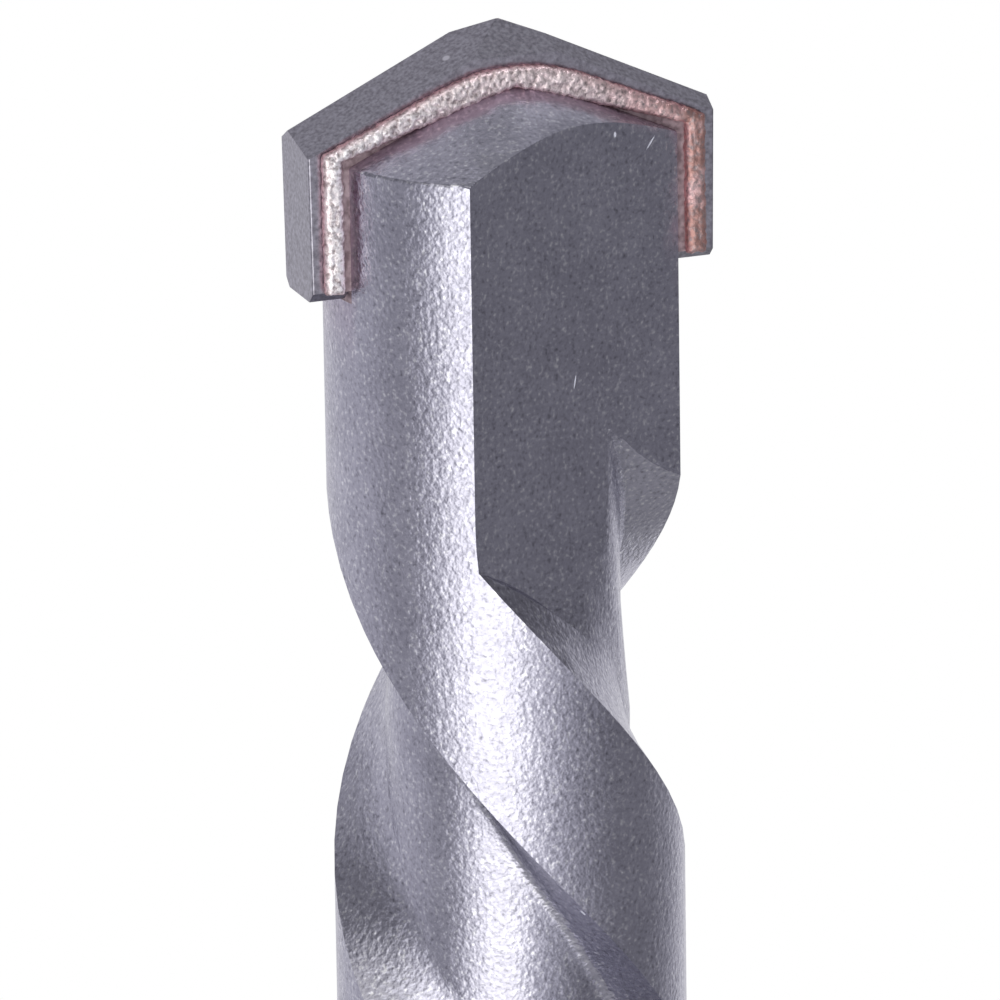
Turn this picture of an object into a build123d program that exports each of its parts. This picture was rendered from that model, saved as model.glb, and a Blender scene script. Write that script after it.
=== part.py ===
from build123d import *

import os
from math import acos, asin, cos, degrees, radians, sin, sqrt, tan

# Masonry drill bit with a left-hand twist, standing on the end of its shank.
# Origin: centre of the shank's flat end. +Z runs up the axis to the point, and
# the carbide plate is 16 mm wide along X. Angles in plan are measured from +X
# towards +Y. The first cutting half is the +X one, whose flute is on the -Y side;
# the second is the first turned half a turn about Z.

# Overall sizes
bit_length = 150.0
body_diameter = 13.3
shank_diameter = 12.7
shank_length = 45.0
shank_chamfer = 0.6
rim_round = 0.15

# Carbide plate
tip_width = 16.0
tip_thickness = 3.0
tip_height = 9.7
point_angle = 129.0
chisel_length = 0.12
edge_offset = 0.76
relief_angle = 14.0
lead_bevel_angle = 31.0
gash_angle = 35.5
end_clearance_angle = 0.7
base_chamfer = 0.4
tip_edge_break = 0.08

# Head of the steel body
cone_angle = 128.5
slot_depth = 5.1
braze_gap = 0.1
slot_lip = 0.2

# Straight flutes along the head
flat_depth = 2.55
straight_length = 14.8
flat_cutter_radius = 20.0
flat_runout_length = 1.8
flat_tail_length = 7.5
flank_opening_length = 2.3
edge_clearance = 0.02

# Left-hand helical flutes
lead = 48.8
flute_angle = 113.7
head_flute_depth = 2.33
flute_depth = 2.03
crease_depth = 1.36
crease_angle = 13.4
wall_offset = 1.94
wall_fillet = 0.7
web_clearance = 0.02
depth_change_length = 4.5
depth_change_start = 3.0
wall_cut_rise = 5.0
runout_cutter_radius = 25.0

# Braze bead on both faces of the carbide plate
bead_gap = 0.32
bead_width = 0.68
bead_height = 0.42
bead_round = 0.2
bead_rise = 0.35
bead_shoulder = 0.2
bead_inner_slope = 0.31
bead_outer_slope = 0.43
bead_crown_radius = 7.0

# Sizes that follow from the ones above
body_radius = body_diameter / 2
cut_radius = body_radius + 1.6
tip_base = bit_length - tip_height
rim_height = tip_base + slot_depth
slot_width = tip_thickness + 2 * braze_gap
face_offset = tip_thickness / 2
roof_slope = 1 / tan(radians(point_angle / 2))
cone_slope = 1 / tan(radians(cone_angle / 2))
relief_slope = tan(radians(relief_angle))
lead_bevel_slope = tan(radians(lead_bevel_angle))
gash_slope = tan(radians(gash_angle))
kink_height = rim_height - straight_length
flat_distance = body_radius - flat_depth
floor_radius = body_radius - head_flute_depth
web_radius = body_radius - flute_depth
crease_radius = body_radius - crease_depth
seat_half_width = sqrt(body_radius**2 - face_offset**2)


def polar(radius, angle):
    """A point in plan from its radius and its angle in degrees."""
    return (radius * cos(radians(angle)), radius * sin(radians(angle)))


def facet(origin, slope_x, slope_y, turn):
    """A ground facet that rises by the two slopes, turned about Z; its Z side is waste."""
    normal = Vector(-slope_x, -slope_y, 1).rotate(Axis.Z, turn)
    return Plane(origin=Vector(*origin).rotate(Axis.Z, turn), z_dir=normal)


def lift_angle(rise, cutter_radius):
    """How far round a cutter's own circle its edge is when it has lifted by this rise."""
    return degrees(acos(1 - rise / cutter_radius))


# The straight flute's face stops short of the slot by the lip at its far edge,
# and its near edge is where the helical land's upper edge starts.
flat_far_edge = -degrees(asin((face_offset + braze_gap + slot_lip) / body_radius))
flat_normal = flat_far_edge - degrees(acos(flat_distance / body_radius))
kink_drift = flat_cutter_radius - sqrt(flat_cutter_radius**2 - flat_runout_length**2)
kink_angle = flat_normal - degrees(acos((flat_distance + kink_drift) / body_radius))

# Carbide plate: a sintered slab, ground on top by a relief, a leading bevel and a
# gash on each cutting half. All six facets are cut from the same tall blank.
edge_height = tip_height + roof_slope * chisel_length / 2 + relief_slope * edge_offset
corner_height = edge_height - roof_slope * tip_width / 2
end_taper = corner_height * tan(radians(end_clearance_angle))

with BuildPart() as carbide_tip:
    with BuildSketch(Plane.XZ.offset(-face_offset)):
        with BuildLine():
            Polyline(
                (end_taper - tip_width / 2, tip_base),
                (tip_width / 2 - end_taper, tip_base),
                (tip_width / 2, tip_base + corner_height),
                (tip_width / 2, bit_length + 1),
                (-tip_width / 2, bit_length + 1),
                (-tip_width / 2, tip_base + corner_height),
                close=True,
            )
        make_face()
    extrude(amount=tip_thickness)
    base_edges = carbide_tip.edges().group_by(Axis.Z)[0].filter_by(Axis.X)
    chamfer(base_edges, length=base_chamfer)
    for turn in (0, 180):
        chisel_end = (chisel_length / 2, 0, bit_length)
        cutting_edge = (0, -edge_offset, tip_base + edge_height)
        split(bisect_by=facet(chisel_end, -roof_slope, -relief_slope, turn), keep=Keep.BOTTOM)
        split(bisect_by=facet(cutting_edge, -roof_slope, lead_bevel_slope, turn), keep=Keep.BOTTOM)
        split(bisect_by=facet((0, 0, bit_length), 0, gash_slope, turn), keep=Keep.BOTTOM)
    upright_edges = carbide_tip.edges().filter_by(
        lambda edge: abs(edge.tangent_at(0.5).Z) > 0.9
    )
    fillet(upright_edges, radius=tip_edge_break)

# Helical flute: its section is a flank that falls from the land's upper edge to a
# crease, a run down to the floor, the floor, and a near-radial wall. Both straight
# sides are given by their distance from the axis and the bearing of their normal.
flank_bearing = crease_angle + degrees(acos(floor_radius / crease_radius))
wall_bearing = flute_angle - degrees(acos(wall_offset / body_radius))


def turn_guide(low, high, pitch=lead):
    """The left-hand helix between two heights that turns a section swept up the axis."""
    return Edge.make_helix(
        pitch=pitch,
        height=high - low,
        radius=body_radius,
        center=(0, 0, low),
        lefthand=True,
    )


def flute_piece(low, high, floor):
    """A length of the turning flute, with a floor of this radius."""
    edge_angle = kink_angle + 360 * (kink_height - low) / lead
    floor_start = edge_angle + flank_bearing - degrees(acos(floor_radius / floor))
    floor_end = edge_angle + wall_bearing + degrees(acos(wall_offset / floor))
    land_edge = Vector(*polar(body_radius, edge_angle))
    crease = Vector(*polar(crease_radius, edge_angle + crease_angle))
    wall_foot = Vector(*polar(floor, floor_end))
    wall_edge = Vector(*polar(body_radius, edge_angle + flute_angle))
    with BuildPart() as piece:
        with BuildSketch(Plane.XY.offset(low)) as section:
            with BuildLine():
                flank = Polyline(land_edge * 2 - crease, crease, polar(floor, floor_start))
                CenterArc((0, 0), floor, floor_start, floor_end - floor_start)
                wall = Line(wall_foot, wall_edge * 1.5 - wall_foot * 0.5)
                outer = polar(cut_radius, edge_angle + flute_angle / 2)
                ThreePointArc(flank @ 0, outer, wall @ 1)
            make_face()
            fillet(section.vertices().sort_by_distance(wall_foot)[0], radius=wall_fillet)
        with BuildLine():
            axis_line = Line((0, 0, low), (0, 0, high))
        sweep(path=axis_line, binormal=turn_guide(low, high))
    return piece.part


# Where the cutter lifts away at the shank the floor follows its radius; the core it
# leaves starts just under the floor so that the two cross cleanly.
shank_lift = cut_radius + 1 - web_radius
shank_run = sqrt(shank_lift * (2 * runout_cutter_radius - shank_lift))
with BuildPart() as shank_runout:
    with BuildSketch(Plane.XZ):
        with BuildLine():
            lift_arc = JernArc(
                start=(web_radius - web_clearance, shank_length + shank_run),
                tangent=(0, -1),
                radius=runout_cutter_radius,
                arc_size=lift_angle(shank_lift, runout_cutter_radius),
            )
            Polyline(
                lift_arc @ 1,
                (0, shank_length),
                (0, shank_length + shank_run),
                lift_arc @ 0,
            )
        make_face()
    revolve(axis=Axis.Z)

# Between the deep floor at the head and the full web the core is a cone.
taper_high = kink_height - depth_change_start
taper_low = taper_high - depth_change_length
with BuildPart() as taper_core:
    with Locations((0, 0, taper_low)):
        Cone(
            web_radius,
            floor_radius - web_clearance,
            depth_change_length,
            align=(Align.CENTER, Align.CENTER, Align.MIN),
        )

with BuildPart() as runout_flute:
    add(flute_piece(shank_length, shank_length + shank_run - 1, web_radius))
    add(shank_runout.part, mode=Mode.SUBTRACT)

with BuildPart() as main_flute:
    add(flute_piece(shank_length + shank_run - 1, taper_low, web_radius))

with BuildPart() as taper_flute:
    add(flute_piece(taper_low, taper_high, floor_radius))
    add(taper_core.part, mode=Mode.SUBTRACT)

with BuildPart() as head_flute:
    add(flute_piece(taper_high, kink_height, floor_radius))

# Above the kink the cutter goes on until its wall has crossed the flat. There it only
# bites beside the land behind the flute, on the far side of the flat's middle plane.
flat_middle = Plane(origin=(0, 0, 0), z_dir=(*polar(1, flat_normal + 90), 0))
with BuildPart() as wall_flute:
    add(flute_piece(kink_height, kink_height + wall_cut_rise, floor_radius))
    split(bisect_by=flat_middle, keep=Keep.TOP)

# Straight flute: a flat along the head that lifts away on the cutter's own radius.
# The sketch's X is the distance from the axis along the flat's normal.
flat_plane = Plane(
    origin=(0, 0, 0),
    x_dir=(*polar(1, flat_normal), 0),
    z_dir=(*polar(1, flat_normal - 90), 0),
)
with BuildPart() as straight_flute:
    with BuildSketch(flat_plane):
        with BuildLine():
            flat_line = Line(
                (flat_distance, bit_length),
                (flat_distance, kink_height + flat_runout_length),
            )
            tail = JernArc(
                start=flat_line @ 1,
                tangent=(0, -1),
                radius=flat_cutter_radius,
                arc_size=lift_angle(cut_radius - flat_distance, flat_cutter_radius),
            )
            Polyline(tail @ 1, (cut_radius, bit_length), (flat_distance, bit_length))
        make_face()
    extrude(amount=body_radius, both=True)

with BuildPart() as head_flat:
    add(straight_flute.part)
    split(bisect_by=Plane.XY.offset(kink_height), keep=Keep.TOP)

# Below the kink the straight flute's tail gives way to the flank of the turning flute.
# The tail's radial side starts at the land's edge and turns faster than the flute, so
# that the flank opens from nothing to its full width over the opening length.
tail_height = kink_height - flat_tail_length
tail_turn = 360 / lead + crease_angle / flank_opening_length
tail_angle = kink_angle + degrees(edge_clearance / body_radius) + tail_turn * flat_tail_length
with BuildPart() as flat_tail:
    with BuildSketch(Plane.XY.offset(tail_height)):
        with BuildLine():
            Polyline(
                polar(flat_distance / 2, tail_angle),
                polar(cut_radius, tail_angle),
                polar(2 * cut_radius, tail_angle + flute_angle / 2),
                polar(cut_radius, tail_angle + flute_angle),
                polar(flat_distance / 2, tail_angle + flute_angle),
                close=True,
            )
        make_face()
    with BuildLine():
        tail_axis = Line((0, 0, tail_height), (0, 0, kink_height))
    tail_guide = turn_guide(tail_height, kink_height, pitch=360 / tail_turn)
    sweep(path=tail_axis, binormal=tail_guide)
    add(straight_flute.part, mode=Mode.INTERSECT)

# Steel body: a turned bar, slotted for the plate and fluted twice
with BuildPart() as steel_body:
    with BuildSketch(Plane.XZ):
        with BuildLine():
            Polyline(
                (0, 0),
                (shank_diameter / 2, 0),
                (shank_diameter / 2, shank_length),
                (body_radius, shank_length + (body_diameter - shank_diameter)),
                (body_radius, rim_height),
                (0, rim_height + cone_slope * body_radius),
                close=True,
            )
        bar_profile = make_face()
        corners = bar_profile.vertices()
        shank_corner = Vector(shank_diameter / 2, 0, 0)
        rim_corner = Vector(body_radius, rim_height, 0)
        chamfer(corners.sort_by_distance(shank_corner)[0], length=shank_chamfer)
        fillet(corners.sort_by_distance(rim_corner)[0], radius=rim_round)
    revolve(axis=Axis.Z)
    with Locations((0, 0, tip_base - braze_gap)):
        Box(
            tip_width,
            slot_width,
            tip_height,
            align=(Align.CENTER, Align.CENTER, Align.MIN),
            mode=Mode.SUBTRACT,
        )
    with PolarLocations(0, 2):
        add(runout_flute.part, mode=Mode.SUBTRACT)
        add(main_flute.part, mode=Mode.SUBTRACT)
        add(taper_flute.part, mode=Mode.SUBTRACT)
        add(head_flute.part, mode=Mode.SUBTRACT)
        add(wall_flute.part, mode=Mode.SUBTRACT)
        add(head_flat.part, mode=Mode.SUBTRACT)
        add(flat_tail.part, mode=Mode.SUBTRACT)

# Braze: a film that fills the slot round the plate, goes on up both its faces where
# they leave the steel, and ends there in a rounded bead that meets the cone at the
# middle and stands off it towards the rim.
bead_inner_width = 2 * (seat_half_width + bead_gap)
bead_outer_width = bead_inner_width + 2 * bead_width
bead_inner_height = rim_height + bead_rise
bead_outer_height = bead_inner_height + bead_shoulder
film_foot = tip_base + base_chamfer


def gable(width, shoulder, slope):
    """The outline of a face with upright sides and two slopes that meet on the axis."""
    Polyline(
        (-width / 2, film_foot),
        (width / 2, film_foot),
        (width / 2, shoulder),
        (0, shoulder + slope * width / 2),
        (-width / 2, shoulder),
        close=True,
    )


with BuildPart() as bead:
    with BuildSketch(Plane.XZ) as bead_outline:
        with BuildLine():
            gable(bead_outer_width, bead_outer_height, bead_outer_slope)
        make_face()
        fillet(bead_outline.vertices().sort_by(Axis.Y)[-1], radius=bead_crown_radius)
        with BuildLine():
            gable(bead_inner_width, bead_inner_height, bead_inner_slope)
        make_face(mode=Mode.SUBTRACT)
    extrude(amount=face_offset + bead_height)
    crest = bead.faces().sort_by(Axis.Y)[0]
    fillet(crest.edges(), radius=bead_round)
    add(steel_body.part, mode=Mode.SUBTRACT)

with BuildPart() as braze:
    with Locations((0, 0, tip_base - braze_gap)):
        Cylinder(
            body_radius,
            braze_gap + base_chamfer,
            align=(Align.CENTER, Align.CENTER, Align.MIN),
        )
        Box(
            2 * body_radius,
            slot_width,
            tip_height,
            align=(Align.CENTER, Align.CENTER, Align.MIN),
            mode=Mode.INTERSECT,
        )
    with BuildSketch(Plane.XZ) as film_outline:
        with BuildLine():
            gable(bead_outer_width, bead_outer_height, bead_outer_slope)
        make_face()
        fillet(film_outline.vertices().sort_by(Axis.Y)[-1], radius=bead_crown_radius)
    extrude(amount=slot_width / 2, both=True)
    with PolarLocations(0, 2):
        add(bead.part)
    add(carbide_tip.part, mode=Mode.SUBTRACT)

os.makedirs("parts", exist_ok=True)

steel_body.part.label = "steel_body"
export_step(steel_body.part, "parts/steel_body.step")

carbide_tip.part.label = "carbide_tip"
export_step(carbide_tip.part, "parts/carbide_tip.step")

braze.part.label = "braze"
export_step(braze.part, "parts/braze.step")
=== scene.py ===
import logging
from dataclasses import dataclass, field
from enum import Enum
from math import cos, pi, radians, sin

import bmesh
import bpy
from mathutils import Matrix, Vector


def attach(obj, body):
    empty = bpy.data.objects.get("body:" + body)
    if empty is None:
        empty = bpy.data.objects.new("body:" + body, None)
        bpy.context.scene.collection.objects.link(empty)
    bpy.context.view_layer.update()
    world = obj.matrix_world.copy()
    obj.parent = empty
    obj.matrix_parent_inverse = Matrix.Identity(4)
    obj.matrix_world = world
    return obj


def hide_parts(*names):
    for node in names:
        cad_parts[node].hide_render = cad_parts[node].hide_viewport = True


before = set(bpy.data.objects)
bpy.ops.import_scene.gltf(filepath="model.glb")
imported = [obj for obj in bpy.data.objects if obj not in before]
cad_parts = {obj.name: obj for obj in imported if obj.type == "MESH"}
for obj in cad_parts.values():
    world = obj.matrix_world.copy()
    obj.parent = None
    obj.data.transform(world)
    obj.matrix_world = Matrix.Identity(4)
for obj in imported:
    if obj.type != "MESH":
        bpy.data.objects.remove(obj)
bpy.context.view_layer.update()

LOG = logging.getLogger("drill_bit")
MM = 0.001
# The lumps of a noise texture are about this share of its unit across.
LUMP = 0.7
# A spot is full over this share of its reach, and fades over the rest.
SPOT_CORE = 0.6
# Corners of the CAD's loose triangles that are closer than this, in metres, are one.
WELD = 1e-6
# How far the larger faces lead when normals are evened, where 50 is no lead.
FACE_WEIGHT = 90
# A skew direction, along which no two edges or faces of a piece are level.
SKEW = Vector((1.0, 1.732, 2.236))

Colour = tuple[float, float, float, float]
Triple = tuple[float, float, float]


class Slot(Enum):
    """The record's material slots."""

    STEEL = "blasted_steel"
    CARBIDE = "carbide"
    BRAZE = "braze"


def linear(code: str) -> Colour:
    """Turns an sRGB hex colour to the linear one that shaders take.

    Args:
        code: six hex digits.

    Returns:
        Linear red, green and blue, and an alpha of 1.
    """
    parts = [int(code[i : i + 2], 16) / 255 for i in (0, 2, 4)]
    bent = [c / 12.92 if c <= 0.04045 else ((c + 0.055) / 1.055) ** 2.4 for c in parts]
    return (bent[0], bent[1], bent[2], 1.0)


def add_node(
    tree: bpy.types.NodeTree,
    kind: str,
    inputs: dict[int | str, object] | None = None,
    **settings: object,
) -> bpy.types.Node:
    """Adds a node with its settings and links.

    Args:
        tree: the material's or the world's node tree.
        kind: the node's type, such as "ShaderNodeMath".
        inputs: socket name or index to a value, or to the output socket that feeds it.
        **settings: the node's own properties.

    Returns:
        The new node.
    """
    node = tree.nodes.new(kind)
    for name, value in settings.items():
        setattr(node, name, value)
    for name, value in (inputs or {}).items():
        if isinstance(value, bpy.types.NodeSocket):
            tree.links.new(value, node.inputs[name])
        else:
            node.inputs[name].default_value = value
    return node


def spot(
    tree: bpy.types.NodeTree,
    place: bpy.types.NodeSocket,
    centre: Triple,
    reach: Triple,
    turn: Triple = (0.0, 0.0, 0.0),
) -> bpy.types.NodeSocket:
    """Marks out a small patch of a surface.

    Args:
        tree: the material's nodes.
        place: the object coordinates.
        centre: the middle of the patch, in mm.
        reach: how far it goes along its own axes, in mm.
        turn: how its axes are turned, in degrees.

    Returns:
        A socket that is 1 in the patch and 0 outside it.
    """
    own = add_node(
        tree,
        "ShaderNodeMapping",
        {
            "Vector": place,
            "Location": Vector(centre) * MM,
            "Rotation": Vector([radians(angle) for angle in turn]),
            "Scale": Vector(reach) * MM,
        },
        vector_type="TEXTURE",
    ).outputs["Vector"]
    out = add_node(
        tree, "ShaderNodeVectorMath", {0: own}, operation="LENGTH"
    ).outputs["Value"]
    return add_node(
        tree,
        "ShaderNodeMapRange",
        {
            "Value": out,
            "From Min": SPOT_CORE,
            "From Max": 1.0,
            "To Min": 1.0,
            "To Max": 0.0,
        },
    ).outputs["Result"]


def new_material(name: str) -> tuple[bpy.types.Material, bpy.types.NodeTree]:
    """Makes an empty node material.

    Args:
        name: the material's name.

    Returns:
        The material and its node tree.
    """
    material = bpy.data.materials.new(name)
    material.use_nodes = True
    material.node_tree.nodes.clear()
    return material, material.node_tree


def fill_ramp(ramp: bpy.types.ColorRamp, stops: list[tuple[float, Colour]]) -> None:
    """Sets the stops of a new ramp, which has one at each end.

    Args:
        ramp: the ramp.
        stops: how far along each stop is, and its colour, in order.
    """
    for number, (share, colour) in enumerate(stops):
        if number == 0:
            mark = ramp.elements[0]
        elif number == len(stops) - 1:
            mark = ramp.elements[-1]
        else:
            mark = ramp.elements.new(share)
        mark.position = share
        mark.color = colour


@dataclass(frozen=True)
class Nick:
    """A small bright knock in the steel.

    Its centre and its reach are in mm, and the turn of its axes is in degrees.
    """

    centre: Triple
    reach: Triple
    turn: Triple = (0.0, 0.0, 0.0)


@dataclass(frozen=True)
class BlastedSteel:
    """Tool steel blasted with fine grit after brazing.

    The blasting leaves shallow rounded pits about 0.15 mm across, so a highlight
    breaks up into specks at its borders. Lighter and darker specks are painted into the
    colour as well, painted glints and painted shade, so that the dark side keeps a
    faint sparkle. The heat and flux of the brazing leave a red-brown stain beside the
    plate, and below it a faint blush. On the turned cone of the head the pits are
    shallower.
    """

    name: str = "grit_blasted_tool_steel"
    light: str = "bdbccd"
    dark: str = "a6a5b6"
    # The glint and pore colours are painted glints and painted shade specks, laid at
    # random over the grain in place of its sparkle.
    painted_glint: str = "f2f2fa"
    painted_pore_shade: str = "6f6e7c"
    bright: str = "eaecff"
    stain: str = "e0ced4"
    blush: str = "fbeff3"
    roughness: float = 0.27
    pit_mm: float = 0.15
    pit_depth_mm: float = 0.038
    cone_pit_depth_mm: float = 0.012
    speck_mm: float = 0.12
    patch_mm: float = 2.2
    # How much the pits count beside the patches, and where on the sum of the two the
    # steel is darkest and lightest.
    pit_share: float = 0.8
    tone_from: float = 0.6
    tone_to: float = 1.2
    # Where on the specks' noise, from 0 to 1, the painted glints and the painted shade
    # specks start and are full.
    painted_glint_from: float = 0.57
    painted_glint_to: float = 0.9
    painted_pore_shade_from: float = 0.42
    painted_pore_shade_to: float = 0.1
    # The stain fades out between these distances from the plate's middle, more or less
    # by the ragged part, and reaches further on the cone.
    stain_from_mm: float = 1.5
    stain_to_mm: float = 2.1
    stain_ragged_mm: float = 1.6
    stain_on_cone_mm: float = 0.75
    # How high above the shank's end the cone, the stain and the blush start.
    cone_foot_mm: float = 145.2
    cone_top_mm: float = 146.2
    stain_foot_mm: float = 140.5
    stain_fade_mm: float = 1.0
    blush_foot_mm: float = 137.3
    blush_strength: float = 0.7
    # How much less of a metal the stain and a nick look.
    stain_dulling: float = 0.6
    nick_dulling: float = 0.8
    nicks: tuple[Nick, ...] = (
        Nick((3.472, -3.005, 145.93), (0.08, 0.08, 0.13)),
        Nick((5.14, -2.32, 145.26), (0.36, 0.05, 0.045), (0.0, -46.0, 22.0)),
        Nick((1.451, -3.836, 136.87), (0.045, 0.05, 0.32), (0.0, 12.0, 22.0)),
        Nick((0.546, -6.332, 116.95), (0.16, 0.12, 0.08), (0.0, 40.0, 0.0)),
    )

    def speckle(
        self,
        tree: bpy.types.NodeTree,
        place: bpy.types.NodeSocket,
        pits: bpy.types.NodeSocket,
        patch: bpy.types.NodeSocket,
    ) -> bpy.types.NodeSocket:
        """Mixes the bare steel's tones with the painted glints and painted shade
        specks.

        Args:
            tree: the material's nodes.
            place: the object coordinates.
            pits: the noise of the pits.
            patch: the noise of the patches.

        Returns:
            The colour.
        """
        blend = add_node(
            tree,
            "ShaderNodeMath",
            {0: pits, 1: self.pit_share, 2: patch},
            operation="MULTIPLY_ADD",
        ).outputs[0]
        spread = add_node(
            tree,
            "ShaderNodeMapRange",
            {"Value": blend, "From Min": self.tone_from, "From Max": self.tone_to},
        ).outputs["Result"]
        colour = add_node(
            tree,
            "ShaderNodeMix",
            {"Factor": spread, 6: linear(self.dark), 7: linear(self.light)},
            data_type="RGBA",
        ).outputs[2]
        specks = add_node(
            tree,
            "ShaderNodeTexNoise",
            {"Vector": place, "Scale": LUMP / (self.speck_mm * MM), "Detail": 1.0},
        ).outputs["Fac"]
        # Painted glints lighten some specks and painted shade darkens others.
        for low, high, tone in (
            (self.painted_glint_from, self.painted_glint_to, self.painted_glint),
            (self.painted_pore_shade_from, self.painted_pore_shade_to, self.painted_pore_shade),
        ):
            share = add_node(
                tree,
                "ShaderNodeMapRange",
                {"Value": specks, "From Min": low, "From Max": high},
            ).outputs["Result"]
            colour = add_node(
                tree,
                "ShaderNodeMix",
                {"Factor": share, 6: colour, 7: linear(tone)},
                data_type="RGBA",
            ).outputs[2]
        return colour

    def near_plate(
        self,
        tree: bpy.types.NodeTree,
        across: bpy.types.NodeSocket,
        patch: bpy.types.NodeSocket,
        cone: bpy.types.NodeSocket,
    ) -> bpy.types.NodeSocket:
        """Marks out the steel beside the plate, with a ragged border.

        Args:
            tree: the material's nodes.
            across: the signed distance from the plate's middle.
            patch: the noise of the patches.
            cone: a socket that is 1 on the cone of the head.

        Returns:
            A socket that is 1 beside the plate and 0 away from it.
        """
        out = add_node(
            tree, "ShaderNodeMath", {0: across}, operation="ABSOLUTE"
        ).outputs[0]
        ragged = add_node(
            tree,
            "ShaderNodeMath",
            {0: patch, 1: self.stain_ragged_mm * MM, 2: out},
            operation="MULTIPLY_ADD",
        ).outputs[0]
        ragged = add_node(
            tree,
            "ShaderNodeMath",
            {0: cone, 1: -self.stain_on_cone_mm * MM, 2: ragged},
            operation="MULTIPLY_ADD",
        ).outputs[0]
        # The noise is 0.5 on average, so half of the ragged part is made up for.
        usual_mm = self.stain_ragged_mm / 2
        return add_node(
            tree,
            "ShaderNodeMapRange",
            {
                "Value": ragged,
                "From Min": (self.stain_from_mm + usual_mm) * MM,
                "From Max": (self.stain_to_mm + usual_mm) * MM,
                "To Min": 1.0,
                "To Max": 0.0,
            },
            interpolation_type="SMOOTHSTEP",
        ).outputs["Result"]

    def build(self) -> bpy.types.Material:
        """Makes the material.

        Returns:
            The finished material.
        """
        material, tree = new_material(self.name)
        place = add_node(tree, "ShaderNodeTexCoord").outputs["Object"]
        pits = add_node(
            tree,
            "ShaderNodeTexNoise",
            {
                "Vector": place,
                "Scale": LUMP / (self.pit_mm * MM),
                "Detail": 1.5,
                "Roughness": 0.5,
            },
        ).outputs["Fac"]
        patch = add_node(
            tree,
            "ShaderNodeTexNoise",
            {
                "Vector": place,
                "Scale": 1 / (self.patch_mm * MM),
                "Detail": 5.0,
                "Roughness": 0.6,
            },
        ).outputs["Fac"]
        axes = add_node(tree, "ShaderNodeSeparateXYZ", {"Vector": place})
        height = axes.outputs["Z"]
        cone = add_node(
            tree,
            "ShaderNodeMapRange",
            {
                "Value": height,
                "From Min": self.cone_foot_mm * MM,
                "From Max": self.cone_top_mm * MM,
            },
        ).outputs["Result"]
        beside = self.near_plate(tree, axes.outputs["Y"], patch, cone)
        shares = []
        for low, high in (
            (self.stain_foot_mm, self.stain_foot_mm + self.stain_fade_mm),
            (self.blush_foot_mm, self.stain_foot_mm),
        ):
            risen = add_node(
                tree,
                "ShaderNodeMapRange",
                {"Value": height, "From Min": low * MM, "From Max": high * MM},
                interpolation_type="SMOOTHSTEP",
            ).outputs["Result"]
            share = add_node(
                tree, "ShaderNodeMath", {0: beside, 1: risen}, operation="MULTIPLY"
            ).outputs[0]
            shares.append(share)
        stained, blushed = shares
        blushed = add_node(
            tree,
            "ShaderNodeMath",
            {0: blushed, 1: self.blush_strength},
            operation="MULTIPLY",
        ).outputs[0]
        colour = self.speckle(tree, place, pits, patch)
        for share, tone in ((blushed, self.blush), (stained, self.stain)):
            colour = add_node(
                tree,
                "ShaderNodeMix",
                {"Factor": share, 6: colour, 7: linear(tone)},
                data_type="RGBA",
                blend_type="MULTIPLY",
            ).outputs[2]
        bare = add_node(
            tree,
            "ShaderNodeMath",
            {0: stained, 1: -self.stain_dulling, 2: 1.0},
            operation="MULTIPLY_ADD",
        ).outputs[0]
        for nick in self.nicks:
            knocked = spot(tree, place, nick.centre, nick.reach, nick.turn)
            colour = add_node(
                tree,
                "ShaderNodeMix",
                {"Factor": knocked, 6: colour, 7: linear(self.bright)},
                data_type="RGBA",
            ).outputs[2]
            bare = add_node(
                tree,
                "ShaderNodeMath",
                {0: knocked, 1: -self.nick_dulling, 2: bare},
                operation="MULTIPLY_ADD",
            ).outputs[0]
        depth = add_node(
            tree,
            "ShaderNodeMapRange",
            {
                "Value": cone,
                "To Min": self.pit_depth_mm * MM,
                "To Max": self.cone_pit_depth_mm * MM,
            },
        ).outputs["Result"]
        bump = add_node(
            tree, "ShaderNodeBump", {"Height": pits, "Strength": 1.0, "Distance": depth}
        ).outputs["Normal"]
        shader = add_node(
            tree,
            "ShaderNodeBsdfPrincipled",
            {
                "Base Color": colour,
                "Metallic": bare,
                "Roughness": self.roughness,
                "Normal": bump,
            },
        ).outputs[0]
        add_node(tree, "ShaderNodeOutputMaterial", {"Surface": shader})
        return material


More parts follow.
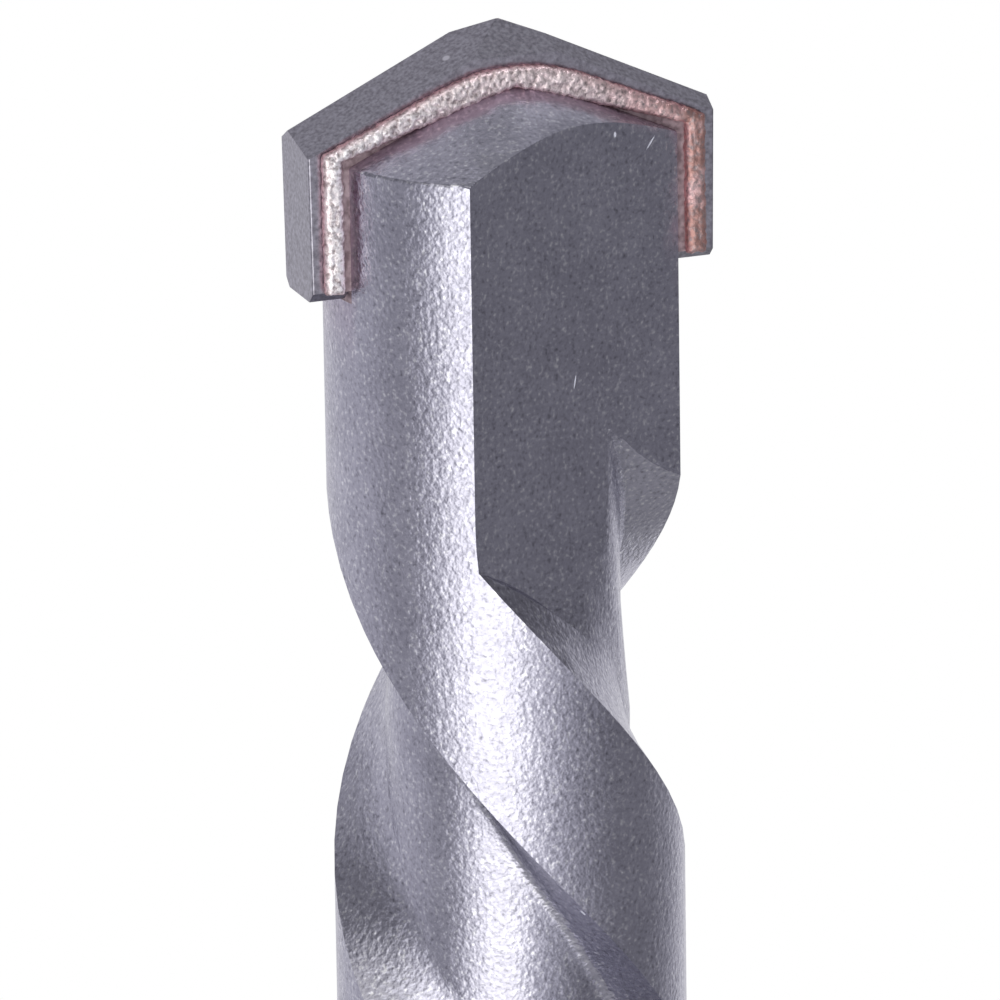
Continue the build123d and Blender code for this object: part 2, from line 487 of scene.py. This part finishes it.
@dataclass(frozen=True)
class SinteredCarbide:
    """Tungsten carbide, pressed and sintered, then ground on its faces.

    It is darker and denser than the steel, with a fine even grain and a satin shine.
    A pale bruise marks the relief of one cutting half.
    """

    name: str = "ground_sintered_carbide"
    light: str = "afadbb"
    dark: str = "85828e"
    bruise: str = "d2d0dd"
    bruise_at_mm: Triple = (-2.2, -0.52, 148.85)
    bruise_mm: float = 0.18
    roughness: float = 0.32
    # The real grain is a few thousandths of a mm; it is drawn coarse enough to show.
    grain_mm: float = 0.1
    grain_depth_mm: float = 0.006
    tone_from: float = 0.3
    tone_to: float = 0.7

    def build(self) -> bpy.types.Material:
        """Makes the material.

        Returns:
            The finished material.
        """
        material, tree = new_material(self.name)
        place = add_node(tree, "ShaderNodeTexCoord").outputs["Object"]
        grain = add_node(
            tree,
            "ShaderNodeTexNoise",
            {"Vector": place, "Scale": LUMP / (self.grain_mm * MM), "Detail": 2.0},
        ).outputs["Fac"]
        spread = add_node(
            tree,
            "ShaderNodeMapRange",
            {"Value": grain, "From Min": self.tone_from, "From Max": self.tone_to},
        ).outputs["Result"]
        colour = add_node(
            tree,
            "ShaderNodeMix",
            {"Factor": spread, 6: linear(self.dark), 7: linear(self.light)},
            data_type="RGBA",
        ).outputs[2]
        bruised = spot(tree, place, self.bruise_at_mm, (self.bruise_mm,) * 3)
        colour = add_node(
            tree,
            "ShaderNodeMix",
            {"Factor": bruised, 6: colour, 7: linear(self.bruise)},
            data_type="RGBA",
        ).outputs[2]
        bump = add_node(
            tree,
            "ShaderNodeBump",
            {"Height": grain, "Strength": 1.0, "Distance": self.grain_depth_mm * MM},
        ).outputs["Normal"]
        shader = add_node(
            tree,
            "ShaderNodeBsdfPrincipled",
            {
                "Base Color": colour,
                "Metallic": 1.0,
                "Roughness": self.roughness,
                "Normal": bump,
            },
        ).outputs[0]
        add_node(tree, "ShaderNodeOutputMaterial", {"Surface": shader})
        return material


@dataclass(frozen=True)
class BlastedBraze:
    """Copper-silver braze that flowed and set, then was blasted with the steel.

    The blasting leaves it granular, near white where it is thick, redder towards the
    column on the cutting side, and pink where it thins out against the plate. The
    hollows of its grain are darkened as painted shade.
    """

    name: str = "blasted_copper_silver_braze"
    stops: tuple[tuple[float, str], ...] = (
        (0.0, "f9f6fd"),
        (0.4, "f9ecf2"),
        (0.74, "fceaf0"),
        (0.9, "e8c5ca"),
        (1.0, "b58d89"),
    )
    # Painted shade for the hollows of the grain.
    painted_hollow_shade: str = "9b8e93"
    thin: str = "e6bcc0"
    bare: float = 0.6
    roughness: float = 0.36
    grain_mm: float = 0.11
    grain_depth_mm: float = 0.045
    patch_mm: float = 1.3
    # X times Y at the foot of a column: the sign tells which column of its face it is.
    column_mm2: float = 13.0
    # How far along the ramp the two columns are, before the patches move them on.
    pale_column: float = -0.25
    red_column: float = 0.75
    patch_share: float = 0.5
    painted_hollow_shade_from: float = 0.56
    painted_hollow_shade_to: float = 0.3
    # The bead thins out between these distances from the plate's middle.
    thin_from_mm: float = 1.98
    thin_to_mm: float = 1.72

    def build(self) -> bpy.types.Material:
        """Makes the material.

        Returns:
            The finished material.
        """
        material, tree = new_material(self.name)
        place = add_node(tree, "ShaderNodeTexCoord").outputs["Object"]
        grain, patch = [
            add_node(
                tree,
                "ShaderNodeTexNoise",
                {"Vector": place, "Scale": scale, "Detail": 3.0},
            ).outputs["Fac"]
            for scale in (LUMP / (self.grain_mm * MM), 1 / (self.patch_mm * MM))
        ]
        axes = add_node(tree, "ShaderNodeSeparateXYZ", {"Vector": place})
        side = add_node(
            tree,
            "ShaderNodeMath",
            {0: axes.outputs["X"], 1: axes.outputs["Y"]},
            operation="MULTIPLY",
        ).outputs[0]
        along = add_node(
            tree,
            "ShaderNodeMapRange",
            {
                "Value": side,
                "From Min": self.column_mm2 * MM * MM,
                "From Max": -self.column_mm2 * MM * MM,
                "To Min": self.pale_column,
                "To Max": self.red_column,
            },
        ).outputs["Result"]
        redder = add_node(
            tree,
            "ShaderNodeMath",
            {0: patch, 1: self.patch_share, 2: along},
            operation="MULTIPLY_ADD",
        ).outputs[0]
        ramp = add_node(tree, "ShaderNodeValToRGB", {"Fac": redder})
        fill_ramp(ramp.color_ramp, [(at, linear(tone)) for at, tone in self.stops])
        # The low spots of the grain, which is also the bump, are darkened as painted
        # shade.
        shaded_hollows = add_node(
            tree,
            "ShaderNodeMapRange",
            {"Value": grain, "From Min": self.painted_hollow_shade_from, "From Max": self.painted_hollow_shade_to},
        ).outputs["Result"]
        colour = add_node(
            tree,
            "ShaderNodeMix",
            {"Factor": shaded_hollows, 6: ramp.outputs["Color"], 7: linear(self.painted_hollow_shade)},
            data_type="RGBA",
        ).outputs[2]
        out = add_node(
            tree, "ShaderNodeMath", {0: axes.outputs["Y"]}, operation="ABSOLUTE"
        ).outputs[0]
        thinned = add_node(
            tree,
            "ShaderNodeMapRange",
            {
                "Value": out,
                "From Min": self.thin_from_mm * MM,
                "From Max": self.thin_to_mm * MM,
            },
        ).outputs["Result"]
        colour = add_node(
            tree,
            "ShaderNodeMix",
            {"Factor": thinned, 6: colour, 7: linear(self.thin)},
            data_type="RGBA",
            blend_type="MULTIPLY",
        ).outputs[2]
        bump = add_node(
            tree,
            "ShaderNodeBump",
            {"Height": grain, "Strength": 1.0, "Distance": self.grain_depth_mm * MM},
        ).outputs["Normal"]
        shader = add_node(
            tree,
            "ShaderNodeBsdfPrincipled",
            {
                "Base Color": colour,
                "Metallic": self.bare,
                "Roughness": self.roughness,
                "Normal": bump,
            },
        ).outputs[0]
        add_node(tree, "ShaderNodeOutputMaterial", {"Surface": shader})
        return material


@dataclass(frozen=True)
class FluxStainedBraze:
    """The thin braze beside the bead, where burnt flux shelters it from the grit.

    It stays dull and red-brown, with darker crumbs of flux.
    """

    name: str = "flux_stained_braze"
    light: str = "b39fa8"
    dark: str = "7d6a72"
    bare: float = 0.4
    roughness: float = 0.5
    crumb_mm: float = 0.18
    crumb_depth_mm: float = 0.03
    tone_from: float = 0.35
    tone_to: float = 0.65

    def build(self) -> bpy.types.Material:
        """Makes the material.

        Returns:
            The finished material.
        """
        material, tree = new_material(self.name)
        place = add_node(tree, "ShaderNodeTexCoord").outputs["Object"]
        crumbs = add_node(
            tree,
            "ShaderNodeTexNoise",
            {"Vector": place, "Scale": LUMP / (self.crumb_mm * MM), "Detail": 3.0},
        ).outputs["Fac"]
        spread = add_node(
            tree,
            "ShaderNodeMapRange",
            {"Value": crumbs, "From Min": self.tone_from, "From Max": self.tone_to},
        ).outputs["Result"]
        colour = add_node(
            tree,
            "ShaderNodeMix",
            {"Factor": spread, 6: linear(self.dark), 7: linear(self.light)},
            data_type="RGBA",
        ).outputs[2]
        bump = add_node(
            tree,
            "ShaderNodeBump",
            {"Height": crumbs, "Strength": 1.0, "Distance": self.crumb_depth_mm * MM},
        ).outputs["Normal"]
        shader = add_node(
            tree,
            "ShaderNodeBsdfPrincipled",
            {
                "Base Color": colour,
                "Metallic": self.bare,
                "Roughness": self.roughness,
                "Normal": bump,
            },
        ).outputs[0]
        add_node(tree, "ShaderNodeOutputMaterial", {"Surface": shader})
        return material


@dataclass(frozen=True)
class StudioPaper:
    """White background paper.

    Near the bit it is plain paper that takes the shadow; before it reaches the tent
    it is pure white to the camera, and further out also in reflections. Its radii are
    metres from the bit's axis.
    """

    name: str = "white_background_paper"
    colour: str = "c8c8c8"
    shadow_radius: float = 0.03
    white_radius: float = 0.15
    fill: float = 0.45

    def build(self) -> bpy.types.Material:
        """Makes the material.

        Returns:
            The finished material.
        """
        material, tree = new_material(self.name)
        path = add_node(tree, "ShaderNodeLightPath")
        place = add_node(tree, "ShaderNodeTexCoord").outputs["Object"]
        reach = add_node(
            tree, "ShaderNodeVectorMath", {0: place}, operation="LENGTH"
        ).outputs["Value"]
        near = add_node(
            tree,
            "ShaderNodeMapRange",
            {
                "Value": reach,
                "From Min": self.shadow_radius,
                "From Max": self.white_radius,
                "To Min": self.fill,
            },
            interpolation_type="SMOOTHSTEP",
        ).outputs["Result"]
        share = add_node(
            tree,
            "ShaderNodeMath",
            {0: path.outputs["Is Camera Ray"], 1: near},
            operation="MULTIPLY",
        ).outputs[0]
        mirrored = add_node(
            tree,
            "ShaderNodeMath",
            {0: path.outputs["Is Glossy Ray"], 1: path.outputs["Is Transmission Ray"]},
            operation="MAXIMUM",
        ).outputs[0]
        far = add_node(
            tree,
            "ShaderNodeMath",
            {0: reach, 1: self.white_radius},
            operation="GREATER_THAN",
        ).outputs[0]
        share = add_node(
            tree,
            "ShaderNodeMath",
            {0: mirrored, 1: far, 2: share},
            operation="MULTIPLY_ADD",
        ).outputs[0]
        paper = add_node(
            tree, "ShaderNodeBsdfDiffuse", {"Color": linear(self.colour)}
        ).outputs[0]
        glow = add_node(
            tree, "ShaderNodeEmission", {"Color": linear("ffffff"), "Strength": 1.0}
        ).outputs[0]
        shader = add_node(
            tree, "ShaderNodeMixShader", {0: share, 1: paper, 2: glow}
        ).outputs[0]
        add_node(tree, "ShaderNodeOutputMaterial", {"Surface": shader})
        return material


@dataclass(frozen=True)
class TentCloth:
    """Lit cloth of a light tent, whose glow goes round the bit in soft steps.

    Each stop is a bearing in degrees to the right of the camera and a radiance. The
    brightest cloth is a little warm, and above the bit all of it dims.
    """

    name: str = "lit_tent_cloth"
    colour: str = "fbfaff"
    stops: tuple[tuple[float, float], ...] = (
        (-180, 1.0),
        (-150, 0.85),
        (-100, 0.69),
        (-66, 0.42),
        (-54, 0.48),
        (-43, 0.95),
        (-32, 1.7),
        (-24, 1.95),
        (8, 2.0),
        (15, 1.2),
        (24, 0.95),
        (34, 0.68),
        (46, 0.46),
        (68, 0.26),
        (108, 0.27),
        (130, 0.5),
        (152, 0.95),
        (180, 1.0),
    )
    brightest: float = 2.0
    warmth: float = 0.13
    # The heights, in metres, between which the cloth dims.
    dims_from: float = 0.11
    dims_to: float = 0.17
    # How bright the upper cloth is, as a share of the brightest.
    upper_front: float = 0.52
    upper_back: float = 0.68
    # How far round from the front its front ends and back starts, in turns.
    front_to: float = 0.2
    back_from: float = 0.33

    def build(self, camera_azimuth: float) -> bpy.types.Material:
        """Makes the material.

        Args:
            camera_azimuth: the camera's own bearing from -Y, in degrees.

        Returns:
            The finished material.
        """
        material, tree = new_material(self.name)
        place = add_node(tree, "ShaderNodeTexCoord").outputs["Object"]
        # Turned so that the middle of the gradient faces the camera.
        turn = Vector((0, 0, radians(90 - camera_azimuth)))
        turned = add_node(
            tree, "ShaderNodeMapping", {"Vector": place, "Rotation": turn}
        ).outputs["Vector"]
        around = add_node(
            tree, "ShaderNodeTexGradient", {"Vector": turned}, gradient_type="RADIAL"
        ).outputs["Fac"]
        ramp = add_node(tree, "ShaderNodeValToRGB", {"Fac": around})
        ramp.color_ramp.interpolation = "EASE"
        glows = []
        for bearing, radiance in self.stops:
            share = radiance / self.brightest
            blue = share * (1 - self.warmth * share**2)
            glows.append(((bearing + 180) / 360, (share, share, blue, 1.0)))
        fill_ramp(ramp.color_ramp, glows)
        tinted = add_node(
            tree,
            "ShaderNodeMix",
            {"Factor": 1.0, 6: ramp.outputs["Color"], 7: linear(self.colour)},
            data_type="RGBA",
            blend_type="MULTIPLY",
        ).outputs[2]
        height = add_node(tree, "ShaderNodeSeparateXYZ", {"Vector": place}).outputs["Z"]
        from_front = add_node(
            tree, "ShaderNodeMath", {0: around, 1: 0.5}, operation="SUBTRACT"
        ).outputs[0]
        from_front = add_node(
            tree, "ShaderNodeMath", {0: from_front}, operation="ABSOLUTE"
        ).outputs[0]
        upper = add_node(
            tree,
            "ShaderNodeMapRange",
            {
                "Value": from_front,
                "From Min": self.front_to,
                "From Max": self.back_from,
                "To Min": self.brightest * self.upper_front,
                "To Max": self.brightest * self.upper_back,
            },
        ).outputs["Result"]
        level = add_node(
            tree,
            "ShaderNodeMapRange",
            {
                "Value": height,
                "From Min": self.dims_from,
                "From Max": self.dims_to,
                "To Min": self.brightest,
                "To Max": upper,
            },
            interpolation_type="SMOOTHSTEP",
        ).outputs["Result"]
        glow = add_node(
            tree, "ShaderNodeEmission", {"Color": tinted, "Strength": level}
        ).outputs[0]
        add_node(tree, "ShaderNodeOutputMaterial", {"Surface": glow})
        return material


@dataclass(frozen=True)
class Softbox:
    """A rectangular lamp that faces the head of the bit.

    Its bearing is in degrees to the right of the camera and its elevation in degrees
    above the horizon. Its distance, width and height are in metres, and a radiance of
    1 makes its face white.
    """

    name: str
    bearing: float
    elevation: float
    distance: float
    size: tuple[float, float]
    radiance: float


@dataclass
class Studio:
    """The floor, the light tent, the lamps and the camera round the bit.

    Bearings are degrees to the right of the camera, seen from above the object, and
    lengths are metres.
    """

    camera_azimuth: float = -20.27
    camera_elevation: float = 16.33
    camera_distance: float = 0.371926
    camera_roll: float = 0.894
    lens_mm: float = 360.0
    target_height: float = 0.1403
    frame_drop: float = 0.022936
    frame_side: float = 0.00041
    floor_radius: float = 20.0
    floor_sides: int = 128
    tent_radius: float = 0.16
    tent_sides: int = 96
    tent_height: float = 0.5
    tent_gap: float = 0.001
    lamp_drop: float = 0.01
    world_grey: str = "989898"
    paper: StudioPaper = field(default_factory=StudioPaper)
    cloth: TentCloth = field(default_factory=TentCloth)
    softboxes: tuple[Softbox, ...] = (
        Softbox("key_softbox", -9, -1, 0.15, (0.1, 0.15), 0.6),
        Softbox("top_softbox", 50, 56, 0.3, (0.16, 0.12), 7.6),
    )

    def towards(self, bearing: float, elevation: float) -> Vector:
        """A unit vector from the head towards a place in the studio.

        Args:
            bearing: degrees to the right of the camera.
            elevation: degrees above the horizon.

        Returns:
            The direction in the row frame.
        """
        a = radians(self.camera_azimuth + bearing)
        e = radians(elevation)
        return Vector((sin(a) * cos(e), -cos(a) * cos(e), sin(e)))

    def add_camera(self) -> None:
        """Makes the camera, which sees the bit from the photograph's angle."""
        back = self.towards(0, self.camera_elevation)
        right = Vector((0, 0, 1)).cross(back).normalized()
        up = back.cross(right)
        roll = radians(self.camera_roll)
        aim = (back + right * self.frame_side + up * self.frame_drop).normalized()
        side = (right * cos(roll) - up * sin(roll)).normalized()
        top = aim.cross(side).normalized()
        side = top.cross(aim)
        data = bpy.data.cameras.new("camera")
        data.lens = self.lens_mm
        data.sensor_width = 36.0
        data.clip_start = 0.01
        data.clip_end = 100.0
        camera = bpy.data.objects.new("camera", data)
        bpy.context.scene.collection.objects.link(camera)
        place = Vector((0, 0, self.target_height)) + back * self.camera_distance
        turned = Matrix((side, top, aim)).transposed()
        camera.matrix_world = Matrix.Translation(place) @ turned.to_4x4()
        bpy.context.scene.camera = camera

    def add_lamp(self, softbox: Softbox) -> None:
        """Makes a lamp.

        Args:
            softbox: where it hangs, how large it is and how bright.
        """
        data = bpy.data.lights.new(softbox.name, "AREA")
        data.shape = "RECTANGLE"
        data.size, data.size_y = softbox.size
        data.energy = softbox.radiance * softbox.size[0] * softbox.size[1] * pi
        lamp = bpy.data.objects.new(softbox.name, data)
        bpy.context.scene.collection.objects.link(lamp)
        way = self.towards(softbox.bearing, softbox.elevation)
        aim = Vector((0, 0, self.target_height - self.lamp_drop))
        lamp.location = aim + way * softbox.distance
        lamp.rotation_euler = way.to_track_quat("Z", "Y").to_euler()
        lamp.visible_camera = False

    def add_floor(self) -> None:
        """Makes the floor the bit stands on."""
        shape = bmesh.new()
        bmesh.ops.create_circle(
            shape, cap_ends=True, segments=self.floor_sides, radius=self.floor_radius
        )
        floor = new_object("floor", shape, self.paper.build())

    def add_tent(self) -> None:
        """Makes the round light tent that the camera looks through."""
        shape = bmesh.new()
        bmesh.ops.create_circle(
            shape, segments=self.tent_sides, radius=self.tent_radius
        )
        rim = shape.edges[:]
        raised = bmesh.ops.extrude_edge_only(shape, edges=rim)["geom"]
        top = [part for part in raised if isinstance(part, bmesh.types.BMVert)]
        bmesh.ops.translate(shape, verts=top, vec=(0, 0, self.tent_height))
        bmesh.ops.translate(shape, verts=shape.verts, vec=(0, 0, self.tent_gap))
        fix_order(shape, set(rim))
        tent = new_object("light_tent", shape, self.cloth.build(self.camera_azimuth))
        tent.visible_camera = False
        LOG.info("light_tent: %d panels", len(tent.data.polygons))

    def add_world(self) -> None:
        """Makes the even grey that fills in the shadows."""
        world = bpy.data.worlds.new("studio")
        world.use_nodes = True
        tree = world.node_tree
        tree.nodes.clear()
        grey = add_node(
            tree,
            "ShaderNodeBackground",
            {"Color": linear(self.world_grey), "Strength": 1.0},
        ).outputs[0]
        add_node(tree, "ShaderNodeOutputWorld", {"Surface": grey})
        bpy.context.scene.world = world

    def build(self) -> None:
        """Sets up the whole studio."""
        bpy.context.scene.view_settings.view_transform = "Standard"
        self.add_floor()
        self.add_camera()
        self.add_tent()
        for softbox in self.softboxes:
            self.add_lamp(softbox)
        self.add_world()


def new_object(
    name: str, shape: bmesh.types.BMesh, material: bpy.types.Material | None = None
) -> bpy.types.Object:
    """Turns a bmesh to a mesh object at the origin.

    Args:
        name: the object's name.
        shape: the bmesh, which is freed.
        material: its finish.

    Returns:
        The new object, linked to the scene.
    """
    mesh = bpy.data.meshes.new(name)
    shape.to_mesh(mesh)
    shape.free()
    if material:
        mesh.materials.append(material)
    made = bpy.data.objects.new(name, mesh)
    bpy.context.scene.collection.objects.link(made)
    return made


def merged_copy(node: str) -> bmesh.types.BMesh:
    """A bmesh of a CAD node with its loose triangles joined.

    Args:
        node: the CAD node's name.

    Returns:
        The bmesh.
    """
    shape = bmesh.new()
    shape.from_mesh(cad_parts[node].data)
    bmesh.ops.remove_doubles(shape, verts=shape.verts, dist=WELD)
    return shape


def fix_order(
    shape: bmesh.types.BMesh, old: set[bmesh.types.BMEdge | bmesh.types.BMFace]
) -> None:
    """Puts the edges and faces that an extrusion added in a fixed order.

    Extruding leaves them in an order that differs from run to run, and filling and
    remeshing follow that order. What was there before keeps its place.

    Args:
        shape: the bmesh, just after it was extruded.
        old: the edges and faces it had before.
    """
    for parts in (shape.edges, shape.faces):
        parts.index_update()
        added = [part for part in parts if part not in old]
        places = [part.index for part in added]
        added.sort(key=lambda part: sum(vert.co.dot(SKEW) for vert in part.verts))
        place = dict(zip(added, places))
        parts.sort(key=lambda part: place.get(part, part.index))


def take_part(piece: bpy.types.Object, node: str) -> None:
    """Lets a piece stand for a CAD node, and reports it.

    Args:
        piece: the finished piece.
        node: the CAD node that it replaces.
    """
    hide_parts(node)
    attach(piece, "root")
    LOG.info("%s: %d faces", piece.name, len(piece.data.polygons))


def break_corners(
    piece: bpy.types.Object, width: float, angle: float, segments: int, crease: float
) -> None:
    """Shades a piece smooth and rounds off its corners.

    Args:
        piece: the object.
        width: how far from the corner the rounding starts, in metres.
        angle: the least angle of a corner that is rounded, in degrees.
        segments: how many facets the rounding has.
        crease: the least angle that still shades as a crease, in degrees.
    """
    piece.data.polygons.foreach_set("use_smooth", [True] * len(piece.data.polygons))
    piece.data.set_sharp_from_angle(angle=radians(crease))
    round_off = piece.modifiers.new("broken_corners", "BEVEL")
    round_off.width = width
    round_off.segments = segments
    round_off.limit_method = "ANGLE"
    round_off.angle_limit = radians(angle)
    evened = piece.modifiers.new("evened_normals", "WEIGHTED_NORMAL")
    evened.keep_sharp = True
    evened.weight = FACE_WEIGHT


@dataclass
class SteelBar:
    """The steel of the bit, from the shank's end to the cone of the head."""

    finish: BlastedSteel = field(default_factory=BlastedSteel)
    # How the corners are rounded, and the least angle that still shades as a crease.
    corner_mm: float = 0.04
    corner_facets: int = 2
    corner_angle: float = 35.0
    crease_angle: float = 35.0

    def build(self) -> None:
        """Makes the steel with its corners broken by the blasting."""
        steel = new_object("steel_bar", merged_copy("steel_body"), self.finish.build())
        break_corners(
            steel,
            self.corner_mm * MM,
            self.corner_angle,
            self.corner_facets,
            self.crease_angle,
        )
        take_part(steel, "steel_body")


@dataclass
class CuttingPlate:
    """The carbide plate with its ground facets."""

    finish: SinteredCarbide = field(default_factory=SinteredCarbide)
    # How the corners are rounded, and the least angle that still shades as a crease.
    corner_mm: float = 0.08
    corner_facets: int = 3
    corner_angle: float = 12.0
    crease_angle: float = 12.0

    def build(self) -> None:
        """Makes the plate with its corners worn round by the blasting."""
        plate = new_object(
            "cutting_plate", merged_copy("carbide_tip"), self.finish.build()
        )
        break_corners(
            plate,
            self.corner_mm * MM,
            self.corner_angle,
            self.corner_facets,
            self.crease_angle,
        )
        take_part(plate, "carbide_tip")


@dataclass
class BrazeSeam:
    """The braze: a thin film round the plate and a granular bead on both faces."""

    bead_finish: BlastedBraze = field(default_factory=BlastedBraze)
    film_finish: FluxStainedBraze = field(default_factory=FluxStainedBraze)
    # How far from the plate's middle the film ends and the bead starts.
    film_face_mm: float = 1.603
    # How far the bead reaches back into the film.
    root_mm: float = 0.08
    voxel_mm: float = 0.06
    # The bead's lumps, the finer grit dents on them, and how far both swell it.
    lump_mm: float = 0.24
    lump_height_mm: float = 0.1
    grit_mm: float = 0.1
    grit_height_mm: float = 0.055
    swell_mm: float = 0.05

    def make_film(self) -> bmesh.types.BMesh:
        """Cuts the film out of the CAD braze.

        Returns:
            The film, closed on both faces.
        """
        film = merged_copy("braze")
        for side in (-1, 1):
            bmesh.ops.bisect_plane(
                film,
                geom=film.verts[:] + film.edges[:] + film.faces[:],
                plane_co=(0, side * self.film_face_mm * MM, 0),
                plane_no=(0, side, 0),
                clear_outer=True,
            )
            rim = [edge for edge in film.edges if edge.is_boundary]
            bmesh.ops.holes_fill(film, edges=rim)
        return film

    def make_blanks(self) -> bmesh.types.BMesh:
        """Cuts the front bead out of the CAD braze and turns a copy to the back.

        Returns:
            Both beads, smooth and rooted in the film, in millimetres.
        """
        bead = merged_copy("braze")
        bmesh.ops.bisect_plane(
            bead,
            geom=bead.verts[:] + bead.edges[:] + bead.faces[:],
            plane_co=(0, -self.film_face_mm * MM, 0),
            plane_no=(0, -1, 0),
            clear_inner=True,
        )
        old = set(bead.edges[:] + bead.faces[:])
        rim = [edge for edge in bead.edges if edge.is_boundary]
        grown = bmesh.ops.extrude_edge_only(bead, edges=rim)["geom"]
        root = [part for part in grown if isinstance(part, bmesh.types.BMVert)]
        bmesh.ops.translate(bead, verts=root, vec=(0, self.root_mm * MM, 0))
        fix_order(bead, old)
        rim = [edge for edge in bead.edges if edge.is_boundary]
        bmesh.ops.holes_fill(bead, edges=rim)
        whole = bead.verts[:] + bead.edges[:] + bead.faces[:]
        twin = bmesh.ops.duplicate(bead, geom=whole)["geom"]
        moved = [part for part in twin if isinstance(part, bmesh.types.BMVert)]
        turn = Matrix.Rotation(pi, 3, "Z")
        bmesh.ops.rotate(bead, verts=moved, cent=(0, 0, 0), matrix=turn)
        bmesh.ops.scale(bead, verts=bead.verts, vec=(1 / MM, 1 / MM, 1 / MM))
        bmesh.ops.recalc_face_normals(bead, faces=bead.faces)
        return bead

    def make_beads(self) -> bpy.types.Mesh:
        """Makes both beads, rough as the blasting leaves them.

        It works in millimetres, because the remesher takes no voxel this small in
        metres.

        Returns:
            The mesh, in metres, with the seam's second material.
        """
        rough = new_object("bead_blank", self.make_blanks())
        melt = rough.modifiers.new("melt", "REMESH")
        melt.mode = "VOXEL"
        melt.voxel_size = self.voxel_mm
        for name, size, height in (
            ("lumps", self.lump_mm, self.lump_height_mm),
            ("grit", self.grit_mm, self.grit_height_mm),
        ):
            noise = bpy.data.textures.new(name, "CLOUDS")
            noise.noise_scale = size
            noise.noise_depth = 1
            heave = rough.modifiers.new(name, "DISPLACE")
            heave.texture = noise
            heave.strength = height
            # Below the noise's middle, so that the bead swells as it roughens.
            heave.mid_level = 0.5 - self.swell_mm / (2 * height)
        depsgraph = bpy.context.evaluated_depsgraph_get()
        mesh = bpy.data.meshes.new_from_object(rough.evaluated_get(depsgraph))
        bpy.data.objects.remove(rough)
        mesh.transform(Matrix.Scale(MM, 4))
        mesh.polygons.foreach_set("material_index", [1] * len(mesh.polygons))
        mesh.polygons.foreach_set("use_smooth", [True] * len(mesh.polygons))
        return mesh

    def build(self) -> None:
        """Makes the braze."""
        shape = self.make_film()
        shape.from_mesh(self.make_beads())
        seam = new_object("braze_seam", shape, self.film_finish.build())
        seam.data.materials.append(self.bead_finish.build())
        take_part(seam, "braze")


@dataclass
class DrillBit:
    """The whole bit: the steel, the plate and the braze that joins them."""

    steel: SteelBar = field(default_factory=SteelBar)
    plate: CuttingPlate = field(default_factory=CuttingPlate)
    braze: BrazeSeam = field(default_factory=BrazeSeam)

    def build(self) -> None:
        """Makes the three pieces."""
        self.steel.build()
        self.plate.build()
        self.braze.build()


def main() -> None:
    """Builds the bit and its studio."""
    logging.basicConfig(level=logging.INFO, format="%(message)s")
    DrillBit().build()
    Studio().build()


if __name__ == "__main__":
    main()
